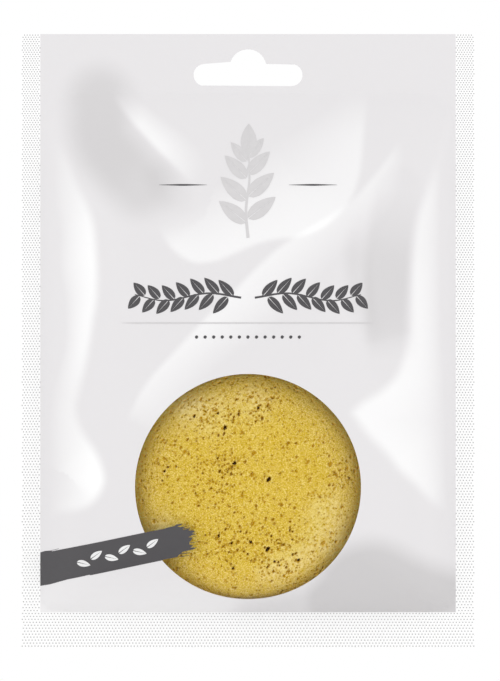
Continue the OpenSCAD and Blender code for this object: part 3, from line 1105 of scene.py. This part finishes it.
def make_leaf_prints(film, marks, ink):
    """Plain leaf, rule and dot ornaments where the sachet carries its print."""
    sprig = [stem(SPRIG_STEM, SPRIG_STEM_W)]
    for place in SPRIG_LEAVES:
        sprig += leaf(*place)
    sprig.append(rule(*PALE_RULE))
    make_print("pale_sprig", sprig, ink_material("pale ink", marks.pale_ink), film)
    dark = [rule(*ends) for ends in DARK_RULES]
    longest, width = GARLAND_LEAF
    for side in (-1, 1):
        dark.append(stem([(side * x, z) for x, z in GARLAND_STEM], GARLAND_STEM_W))
        outward = 0 if side > 0 else 180
        for k in range(GARLAND_PAIRS):
            x = GARLAND_X + GARLAND_STEP * k
            z = GARLAND_Z + GARLAND_WAVE * math.sin(k * GARLAND_WAVE_TURN)
            for reach, lean in ((x, GARLAND_LEAN), (x + GARLAND_STAGGER, -GARLAND_LEAN)):
                dark += leaf(side * reach, z, outward + side * lean, longest - GARLAND_SHORTER * k, width)
    dark += [circle(x, DOT_Z, DOT_R, DOT_STEP) for x in np.linspace(-DOT_REACH, DOT_REACH, DOT_COUNT)]
    make_print("dark_garland", dark, ink, film)
    light = []
    for k in range(WHITE_COUNT):
        x, z = turned([(WHITE_X + WHITE_STEP * k, 0)], *BRUSH_FOOT, BRUSH_ANGLE)[0]
        light += leaf(x, z, BRUSH_ANGLE + (WHITE_LEAN if k % 2 else -WHITE_LEAN), *WHITE_LEAF)
    white = ink_material("white ink", marks.white_ink)
    make_print("white_leaves", light, white, film, lift=2 * INK_LIFT)


DOME_STEPS = 800
FLAT_STEPS = 100


def meridian(foam):
    """The sponge's half outline as radii, places along Y and outward normals, and their step."""
    turn = np.linspace(0, math.pi / 2, DOME_STEPS)
    across, up = np.sin(turn) ** (2 / DOME_SHARE), np.cos(turn) ** (2 / DOME_SHARE)
    front = np.column_stack([SPONGE_R * across, -SPONGE_FRONT * up])
    rim = np.column_stack([FLAT_R + (SPONGE_R - FLAT_R) * np.cos(turn), SPONGE_BACK * np.sin(turn)])
    flat = np.column_stack([np.linspace(FLAT_R, 0, FLAT_STEPS), np.full(FLAT_STEPS, SPONGE_BACK)])
    line = np.vstack([front, rim[1:], flat[1:]])
    run = np.concatenate([[0], np.cumsum(np.hypot(*np.diff(line, axis=0).T))])
    rim_run = run[len(front) - 1]
    fine, coarse = foam.grain / MM, foam.back_grain / MM
    places = [0.0]
    while places[-1] < run[-1]:
        past = max(0, places[-1] - rim_run)
        places.append(places[-1] + fine + (coarse - fine) * min(1, past / FLAT_R))
    places[-1] = run[-1]
    r = np.interp(places, run, line[:, 0])
    y = np.interp(places, run, line[:, 1])
    steps = np.gradient(np.column_stack([r, y]), axis=0)
    normal = np.column_stack([steps[:, 1], -steps[:, 0]])
    normal /= np.hypot(*normal.T)[:, None]
    sizes = fine + (coarse - fine) * np.clip((np.array(places) - rim_run) / FLAT_R, 0, 1)
    return r, y, normal, sizes


def between_rings(start_a, n, start_b, m):
    """Triangles between two rings of n and m points, outward for rings that run round -Y."""
    events = np.concatenate([(np.arange(n) + 1) / n, (np.arange(m) + 1) / m])
    order = np.argsort(events, kind="stable")
    first = order < n
    a = np.cumsum(first) - first
    b = np.cumsum(~first) - ~first
    third = np.where(first, start_b + b % m, start_b + (b + 1) % m)
    rows = np.where(
        first[:, None],
        np.column_stack([start_a + (a + 1) % n, start_a + a % n, third]),
        np.column_stack([start_a + a % n, start_b + b % m, third]),
    )
    distinct = (rows[:, 0] != rows[:, 1]) & (rows[:, 1] != rows[:, 2]) & (rows[:, 0] != rows[:, 2])
    return rows[distinct]


# The dark pores that show through the window: x and height from its centre, and radius
DARK_PORES = (
    (14.9, -21.6, 0.65), (5.8, -18.3, 0.86), (6.1, 2.2, 0.86), (-15.9, 20.7, 0.6), (-6.8, 17.4, 0.77),
    (-4.5, -24.2, 0.6), (-3.9, 6.9, 0.73), (3.1, 23.3, 0.56), (7.8, -22.1, 0.52), (0.8, -16.3, 0.73),
    (-8.9, 21.6, 0.56), (-4.8, -16.6, 0.56), (-24.7, 4.5, 0.56), (-8.6, -14.2, 0.56), (-12.7, -14.2, 0.43),
    (12.2, -12.8, 0.43), (-8.9, 8.4, 0.43), (9, -16.6, 0.43), (-5.7, -19.2, 0.43), (14, -19.5, 0.43),
    (5.5, -23.6, 0.43), (-5.1, 21.3, 0.43), (-11.8, -19.8, 0.43), (-7.4, -17.4, 0.43), (13.1, -15.4, 0.43),
    (-25.3, 1.9, 0.43), (13.1, -13, 0.43), (9, -22.1, 0.43), (4, -22.1, 0.39), (1.1, 4, 0.39),
    (-6.2, -21.8, 0.39), (-15.3, -1.9, 0.39), (-14.5, -5.4, 0.39), (12.2, -17.4, 0.39), (11.6, -22.7, 0.39),
    (-26.2, 6.6, 0.39), (4.6, 22.1, 0.34), (-1.8, -1.9, 0.34), (-12.7, -16.6, 0.34), (-6.8, 23, 0.34),
    (-13, -1, 0.34), (-12.7, 22.1, 0.34), (-3, 28, 0.34), (-28.2, 6.6, 0.34), (-14.7, 8.1, 0.34),
    (27.5, 1.6, 0.34), (9.3, 4, 0.34), (1.7, -21.6, 0.34),
)
AMBER_PORES = (
    (-18.5, 10.4, 0.8), (1.7, 9.8, 0.9), (17.5, 7.2, 0.8), (24.1, 6.6, 0.9), (29.2, 5.4, 0.8),
    (-27.6, -10.1, 0.9), (-1.6, 16, 0.8), (1.1, 3.7, 0.9), (-1.8, -2.5, 0.8), (1.4, -10.7, 0.9),
    (22.2, -16.6, 0.9),
)

# Where pores crowd, in the same way, and the way that most of the dark ones lean
DENSE_PATCHES = ((-9, 21, 8), (5, 25, 7), (-26, 7, 6), (-9, 4, 7), (-8, -16, 8), (8, -20, 9), (27, 3, 4))
PORE_LEAN = (2.6, 0, 3.2)

# Where the foam is creamier, in the same way. The patch at (-25, -14) is painted light, which lifts the
# shadow that the brush band casts on the foam.
PALE_PATCHES = (
    (-10, 21, 5), (1, 23.5, 5), (-17, 22, 5), (-25, -14, 5), (23, -7, 5), (22, -15, 6), (14, -22, 5),
    (7, -25, 4),
)

# Placed pores: the dug share of their radius, and their depth, which grows with it between two bounds
DUG_SHARE = 0.74
DEPTH_PER_RADIUS = 0.75
DARK_DEPTHS = (0.5, 1.0)
AMBER_DEPTHS = (0.5, 0.58)

# Scattered pores: their chance off the crowds, the evenness and bounds of their radii, and their depth
STRAY_CHANCE = 0.55
RADIUS_EVENNESS = 6.0
RADIUS_BOUNDS = (0.14, 0.44)
LEAST_DEPTH = 0.06
DEPTH_SPREAD = 0.68
DEPTH_RARITY = 2.6
STRAY_DEPTH = 0.78
CROWD_DEPTH = 0.3
MOST_DEPTH = 0.82

# A pore's shape: its stretch, its ragged wall, how far out that reaches, and its paler brim, which is a
# painted highlight on the pore's lip
LEAST_STRETCH = 1.05
SHALLOW_STRETCH = 1.25
DEEP_STRETCH = 0.55
RAGGED_SHARE = 0.5
RAGGED_SEED = 3
WALL_START = 2.6
WALL_FALL = 2.4
PORE_REACH = 1.5
BRIM_PLACE = 1.2
BRIM_START = 1.4
BRIM_FALL = 4


def noise_at(points, size, seed):
    """Noise from about -1 to 1 at each point, in lumps of that size."""
    return np.array([noise.noise(Vector(p) / size + Vector((seed, -seed, seed * 2))) for p in points])


def patches(points, spots):
    """How far each point lies in round soft patches of the dome, added up."""
    x, up = points[:, 0], points[:, 2] - WINDOW_Z
    return sum(np.exp(-((x - cx) ** 2 + (up - cz) ** 2) / radius**2) for cx, cz, radius in spots)


def place_pores(points, normals, foam, rng):
    """The middle point, radius and depth of every pore: placed ones first, then scattered ones."""
    base = (normals[:, 1] >= 0) * SPONGE_R
    pores = []
    for group, (least, most) in ((DARK_PORES, DARK_DEPTHS), (AMBER_PORES, AMBER_DEPTHS)):
        for x, up, radius in group:
            away = np.hypot(points[:, 0] - x, points[:, 2] - WINDOW_Z - up) + base
            depth = min(most, least + radius * DEPTH_PER_RADIUS)
            pores.append((int(np.argmin(away)), radius * DUG_SHARE, depth))
    crowd = STRAY_CHANCE + patches(points, DENSE_PATCHES)
    picked = rng.choice(len(points), foam.pore_count, replace=False, p=crowd / crowd.sum())
    radii = rng.gamma(RADIUS_EVENNESS, foam.pore_size / MM / RADIUS_EVENNESS, foam.pore_count)
    depths = LEAST_DEPTH + DEPTH_SPREAD * rng.random(foam.pore_count) ** DEPTH_RARITY
    depths = np.minimum(depths * (STRAY_DEPTH + CROWD_DEPTH * crowd[picked]), MOST_DEPTH)
    return pores + list(zip(picked.tolist(), radii.clip(*RADIUS_BOUNDS), depths))


def dig_pores(points, normals, foam):
    """How far each point lies in a pore and on a pore's paler brim, both from 0 to 1."""
    rng = np.random.default_rng(foam.seed)
    tree = KDTree(len(points))
    for k, p in enumerate(points):
        tree.insert(p, k)
    tree.balance()
    deep = np.zeros(len(points))
    brim = np.zeros(len(points))
    pores = place_pores(points, normals, foam, rng)
    ragged = noise_at(points, foam.grain_size / MM, foam.seed + RAGGED_SEED) * RAGGED_SHARE + 1
    for k, radius, depth in pores:
        stretch = rng.uniform(LEAST_STRETCH, SHALLOW_STRETCH + DEEP_STRETCH * depth)
        lean = rng.normal(size=3) + np.array(PORE_LEAN) * depth
        lean -= lean @ normals[k] * normals[k]
        lean /= np.linalg.norm(lean)
        near = [found[1] for found in tree.find_range(points[k], radius * stretch * PORE_REACH)]
        reach = points[near] - points[k]
        along = reach @ lean
        away = np.sqrt(np.maximum((reach**2).sum(1) - along**2, 0) + (along / stretch) ** 2) / radius
        away *= ragged[near]
        deep[near] = np.maximum(deep[near], depth * smooth(WALL_START - WALL_FALL * away))
        on_brim = smooth(BRIM_START - BRIM_FALL * np.abs(away - BRIM_PLACE))
        brim[near] = np.maximum(brim[near], depth * on_brim)
    return deep, brim


CRUMB_SEED = 7
RING_LEAST = 6
PORE_WALL_POWER = 1.6
BRIM_LEAST = 0.1


def make_sponge(foam):
    """The foam disc: a crumbly dome to the window, a rounded rim and a flat base, dug with pores."""
    r, y, normal, sizes = meridian(foam)
    counts = np.maximum(1, np.round(2 * math.pi * r / sizes)).astype(int)
    counts[1:-1] = np.maximum(counts[1:-1], RING_LEAST)
    counts[0] = counts[-1] = 1
    starts = np.concatenate([[0], np.cumsum(counts)])
    ring = np.repeat(np.arange(len(r)), counts)
    turn = (np.arange(starts[-1]) - starts[ring]) / counts[ring] * 2 * math.pi
    across, up = np.cos(turn), np.sin(turn)
    points = np.column_stack([r[ring] * across, y[ring], WINDOW_Z + r[ring] * up])
    normals = np.column_stack([normal[ring, 0] * across, normal[ring, 1], normal[ring, 0] * up])
    faces = np.vstack([
        between_rings(starts[k], counts[k], starts[k + 1], counts[k + 1]) for k in range(len(r) - 1)
    ])
    pores, brims = dig_pores(points, normals, foam)
    swell = noise_at(points, foam.lump_size / MM, foam.seed) * 0.5 + 0.5
    crumb = noise_at(points, foam.crumb_size / MM, foam.seed + CRUMB_SEED) * 0.5 + 0.5
    depth = swell * foam.lump_depth + crumb * foam.crumb_depth + pores**PORE_WALL_POWER * foam.pore_depth
    points = points - normals * (depth / MM)[:, None]
    sponge = new_mesh("sponge_foam", points, faces)
    # Pale: the creamier patches, with painted light and the painted highlight of the pores' brims
    pale = patches(points, PALE_PATCHES) + brims * (pores < BRIM_LEAST)
    give_values(sponge, "pore", pores)
    give_values(sponge, "crowd", np.minimum(1, patches(points, DENSE_PATCHES)))
    give_values(sponge, "pale", np.minimum(1, pale))
    sponge.data.materials.append(foam_material(foam))
    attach(sponge, "sponge")
    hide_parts("sponge")


# Softboxes round the sachet's middle: azimuth from its front, elevation, distance, width and
# height in metres, and the setting that holds their power
SOFTBOXES = {
    "key softbox": (-32, 10, 1.5, 1.0, 0.6, "key_power"),
    "fill softbox": (25, -6, 1.6, 1.2, 0.4, "fill_power"),
    "left strip": (-62, 8, 0.9, 0.16, 0.9, "strip_power"),
    "right strip": (60, 8, 0.9, 0.14, 0.9, "strip_power"),
    "back softbox": (170, 35, 1.5, 1.2, 1.0, "back_power"),
}
CAMERA_END = 20
FLOOR_SIDES = 96


def add_softbox(name, watts, azimuth, elevation, distance, width, height):
    """A soft lamp that looks at the sachet's middle and isn't seen itself."""
    data = bpy.data.lights.new(name, "AREA")
    data.shape = "RECTANGLE"
    data.size = width
    data.size_y = height
    data.energy = watts
    lamp = add_object(name, data)
    a, e = math.radians(azimuth), math.radians(elevation)
    away = Vector((math.sin(a) * math.cos(e), -math.cos(a) * math.cos(e), math.sin(e)))
    lamp.location = MIDDLE + away * distance
    lamp.rotation_euler = away.to_track_quat("Z", "Y").to_euler()
    lamp.visible_camera = False


def make_floor(stage):
    """The round floor below the hanging sachet."""
    radius = stage.floor_radius / MM
    height = BOTTOM_Z - stage.floor_drop / MM
    rim = arc(0, 0, radius, 0, 360, 2 * math.pi * radius / FLOOR_SIDES)
    points = [*((x, y, height) for x, y in rim), (0, 0, height)]
    faces = [(k, (k + 1) % FLOOR_SIDES, FLOOR_SIDES) for k in range(FLOOR_SIDES)]
    floor = new_mesh("floor", points, faces)
    floor.data.materials.append(floor_material(stage))


def make_world(stage):
    """A white room, plain white to the camera and in gloss, and dimmer on matt surfaces."""
    world = bpy.data.worlds.new("white room")
    world.use_nodes = True
    world.node_tree.nodes.clear()
    graph = Graph(world.node_tree)
    rays = ("Is Camera Ray", "Is Glossy Ray", "Is Transmission Ray")
    seen = sum(graph.add("ShaderNodeLightPath", output=ray) for ray in rays).clamped()
    strength = seen + (1 - seen) * stage.sky_light
    sky = graph.add("ShaderNodeBackground", None, {"Color": grey(1), "Strength": strength})
    graph.add("ShaderNodeOutputWorld", None, {"Surface": sky})
    bpy.context.scene.world = world


def make_stage(stage):
    """The floor, the room, the softboxes, and the camera straight in front of the sachet."""
    make_floor(stage)
    make_world(stage)
    for name, (*place, power) in SOFTBOXES.items():
        add_softbox(name, getattr(stage, power), *place)
    data = bpy.data.cameras.new("camera")
    data.lens = stage.lens
    data.clip_end = CAMERA_END
    camera = add_object("camera", data)
    camera.location = stage.camera_place
    camera.rotation_euler = (math.pi / 2, 0, 0)
    scene = bpy.context.scene
    scene.camera = camera
    scene.view_settings.view_transform = "Standard"


def length(name, default, description):
    """A setting in metres."""
    return FloatProperty(
        name=name, description=description, default=default, min=0, unit="LENGTH", precision=5
    )


def number(name, default, description, high=1.0):
    """A setting that is a share, a gain or a power."""
    return FloatProperty(name=name, description=description, default=default, min=0, max=high)


def count(name, default, description, low=0):
    """A setting in whole numbers."""
    return IntProperty(name=name, description=description, default=default, min=low)


def colour(name, default, description):
    """A setting for a linear colour."""
    return FloatVectorProperty(
        name=name, description=description, default=default[:3], size=3, subtype="COLOR", min=0, max=1
    )


class SACHET_PG_film(bpy.types.PropertyGroup):
    spacing: length("Spacing", 0.00076, "Triangle size of the front web")
    back_spacing: length("Back spacing", 0.0012, "Triangle size of the back web")
    mark_spacing: length("Mark spacing", 0.0006, "Triangle size of the printed marks")
    thickness: length("Thickness", 0.00019, "Thickness of the film")
    ink_thickness: length("Ink", 0.00003, "Thickness of the printed ink")
    corner: number("Corner", 20, "How square the pillow's corners are", 20)
    fold_height: length("Fold height", 0.0005, "Height of the pleats and depth of the hollows")
    colour: colour("Film", (0.772, 0.757, 0.768), "Grey of the printed film")
    colour_drift: colour("Drift", (0.762, 0.747, 0.758), "Grey that the film drifts to")
    # The pleats' painted highlight and the hollows' painted shade
    pleat_highlight: colour("Pleat", grey(0.97), "Grey of a pleat that catches the light")
    hollow_shade: colour("Hollow", (0.6, 0.586, 0.592), "Grey of a hollow in shade")
    roughness: number("Roughness", 0.32, "Roughness of the film")
    drift_size: length("Drift size", 0.04, "Size of the slow changes in tone")
    ripple_size: length("Ripple size", 0.006, "Size of the film's fine ripples")
    ripple_depth: length("Ripple depth", 0.00003, "Depth of the film's fine ripples")
    clear_ior: number("Window gloss", 1.13, "Refractive index that sets the window's gloss", 2)


class SACHET_PG_seal(bpy.types.PropertyGroup):
    row_pitch: length("Row pitch", 0.000625, "Height of a row of studs at the top edge")
    row_growth: number("Row growth", 0.00189, "Growth of the rows for each millimetre down")
    column_pitch: length("Column pitch", 0.000789, "Distance of studs in a row at the top edge")
    column_growth: number("Column growth", 0.00097, "Growth of that distance for each millimetre down")
    stud_share: number("Stud radius", 0.28, "Radius of a stud as a share of its distance to the next")
    stud_height: number("Stud height", 0.05, "Height of a stud as a share of that distance")
    white: number("White", 0.98, "White of the welded film")
    # The studs' grey is painted shade for the knurl's embossed relief
    stud_shade_grey: number("Stud grey", 0.5, "Grey of the pressed studs")
    cloud_size: length("Cloud size", 0.004, "Size of the weld's faint clouds")


class SACHET_PG_foam(bpy.types.PropertyGroup):
    seed: count("Seed", 11, "Seed of the pores and crumb")
    grain: length("Grain", 0.00025, "Triangle size of the dome and the rim")
    back_grain: length("Back grain", 0.0008, "Triangle size of the base")
    lump_size: length("Lump size", 0.006, "Size of the foam's soft lumps")
    lump_depth: length("Lump depth", 0.0003, "Depth between the lumps")
    crumb_size: length("Crumb size", 0.0009, "Size of the crumb")
    grain_size: length("Grain size", 0.00036, "Size of the finest mottling")
    speck_share: number("Specks", 0.85, "Strength of the finest amber pores")
    crumb_depth: length("Crumb depth", 0.00012, "Depth of the crumb")
    pore_count: count("Pores", 6500, "Number of scattered pores")
    pore_size: length("Pore size", 0.00025, "Mean radius of the scattered pores")
    pore_depth: length("Pore depth", 0.0009, "Depth of the deepest pores")
    cell_size: length("Cell size", 0.0009, "Size of the foam's cells")
    patch_size: length("Patch size", 0.009, "Size of the patches with more or fewer pores")
    foam_colour: colour("Foam", from_screen(205, 170, 38), "Straw yellow of the foam")
    wall_colour: colour("Cell walls", from_screen(229, 200, 92), "Cream of the cell walls")
    foam_deep: colour("Deep foam", from_screen(207, 170, 36), "Deeper yellow of the dense patches")
    pale_colour: colour("Pale foam", from_screen(242, 222, 140), "Cream of the palest patches")
    # The tones down a pore: painted shade that darkens with its depth, from amber to near black
    amber_colour: colour("Amber", from_screen(188, 142, 2), "Amber inside the soft pores")
    pore_shade_colour: colour("Pore", from_screen(150, 108, 8), "Brown inside the deeper pores")
    deep_pore_shade: colour("Dark pore", from_screen(62, 40, 2), "Near black of the deepest pores")
    # The foam's painted light toward the window's rim, its bluer tint there, and its painted shade at the
    # lowest point of the window
    rim_start: length("Rim start", 0.0235, "Radius where the foam begins to pale")
    rim_light: number("Rim light", 0.78, "How much paler the foam is at the window's edge")
    rim_tilt: number("Rim tilt", 0.16, "How much more of that lies at the upper left")
    rim_tint: FloatVectorProperty(
        name="Rim tint", description="Gain of red, green and blue where the foam pales",
        default=(1, 1, 1.36), size=3,
    )
    low_shade: number("Low shade", 1, "How much browner the foam is at the lowest point of the window")


class SACHET_PG_print(bpy.types.PropertyGroup):
    seed: count("Seed", 3, "Seed of the brush's bristles")
    bristles: count("Bristles", 15, "Number of fine tips at the brush's end", low=2)
    dark_ink: colour("Dark ink", (0.063, 0.0595, 0.0645), "Dark grey of the brush band and the garland")
    pale_ink: colour("Pale ink", from_screen(214, 212, 213), "Pale grey of the sprig")
    white_ink: colour("White ink", grey(0.86), "White of the leaves on the brush band")


class SACHET_PG_stage(bpy.types.PropertyGroup):
    floor_radius: length("Floor radius", 0.9, "Radius of the floor")
    floor_drop: length("Floor drop", 0.06, "Height that the sachet hangs over the floor")
    sky_light: number("Sky light", 0.95, "Light of the white room on matt surfaces", 2)
    key_power: number("Key", 0.8, "Power of the key softbox in watts", 50)
    fill_power: number("Fill", 1.2, "Power of the fill softbox in watts", 50)
    strip_power: number("Strips", 0.45, "Power of each strip softbox in watts", 50)
    back_power: number("Back", 2, "Power of the softbox behind the sachet in watts", 50)
    lens: number("Lens", 500, "Focal length in millimetres", 2000)
    camera_place: FloatVectorProperty(
        name="Camera", description="Place of the camera", default=(0.000586, -2.7733, -0.08), size=3,
        subtype="TRANSLATION", unit="LENGTH",
    )


class SACHET_PG_all(bpy.types.PropertyGroup):
    film: PointerProperty(type=SACHET_PG_film, name="Film", description="The webs and the window")
    seal: PointerProperty(type=SACHET_PG_seal, name="Seals", description="The welds and their studs")
    foam: PointerProperty(type=SACHET_PG_foam, name="Sponge", description="The konjac foam")
    marks: PointerProperty(type=SACHET_PG_print, name="Print", description="The inks")
    stage: PointerProperty(type=SACHET_PG_stage, name="Stage", description="Floor, light and camera")


class SACHET_OT_sponge(bpy.types.Operator):
    """Make the foam sponge that shows through the window"""

    bl_idname = "sachet.sponge"
    bl_label = "Sponge"

    def execute(self, context):
        make_sponge(context.scene.sachet.foam)
        return {"FINISHED"}


class SACHET_OT_webs(bpy.types.Operator):
    """Make the printed front web, the clear window and the plain back web"""

    bl_idname = "sachet.webs"
    bl_label = "Webs and window"

    def execute(self, context):
        make_webs(context.scene.sachet.film)
        return {"FINISHED"}


class SACHET_OT_seals(bpy.types.Operator):
    """Finish the welded seals and stud them on both faces"""

    bl_idname = "sachet.seals"
    bl_label = "Seals and studs"

    def execute(self, context):
        seal = context.scene.sachet.seal
        dress_seals(seal)
        make_knurl(seal, FRONT)
        make_knurl(seal, BACK)
        return {"FINISHED"}


class SACHET_OT_print(bpy.types.Operator):
    """Print the brush band and the plain leaf ornaments on the front web"""

    bl_idname = "sachet.print"
    bl_label = "Print"

    def execute(self, context):
        settings = context.scene.sachet
        ink = make_brush_mark(settings.film, settings.marks)
        make_leaf_prints(settings.film, settings.marks, ink)
        return {"FINISHED"}


class SACHET_OT_stage(bpy.types.Operator):
    """Set the floor, the white room, the softboxes and the camera"""

    bl_idname = "sachet.stage"
    bl_label = "Stage"

    def execute(self, context):
        make_stage(context.scene.sachet.stage)
        return {"FINISHED"}


STEPS = (SACHET_OT_sponge, SACHET_OT_webs, SACHET_OT_seals, SACHET_OT_print, SACHET_OT_stage)


class SACHET_PT_steps(bpy.types.Panel):
    """The steps that dress the sachet"""

    bl_label = "Konjac Sponge Sachet"
    bl_space_type = "VIEW_3D"
    bl_region_type = "UI"
    bl_category = "Sachet"

    def draw(self, context):
        for step in STEPS:
            self.layout.operator(step.bl_idname)


CLASSES = (
    SACHET_PG_film, SACHET_PG_seal, SACHET_PG_foam, SACHET_PG_print, SACHET_PG_stage, SACHET_PG_all,
    *STEPS, SACHET_PT_steps,
)


def register():
    for cls in CLASSES:
        bpy.utils.register_class(cls)
    bpy.types.Scene.sachet = PointerProperty(type=SACHET_PG_all)


def unregister():
    del bpy.types.Scene.sachet
    for cls in reversed(CLASSES):
        bpy.utils.unregister_class(cls)


def main():
    register()
    bpy.ops.sachet.sponge()
    bpy.ops.sachet.webs()
    bpy.ops.sachet.seals()
    bpy.ops.sachet.print()
    bpy.ops.sachet.stage()
    bpy.context.view_layer.update()


if __name__ == "__main__":
    main()
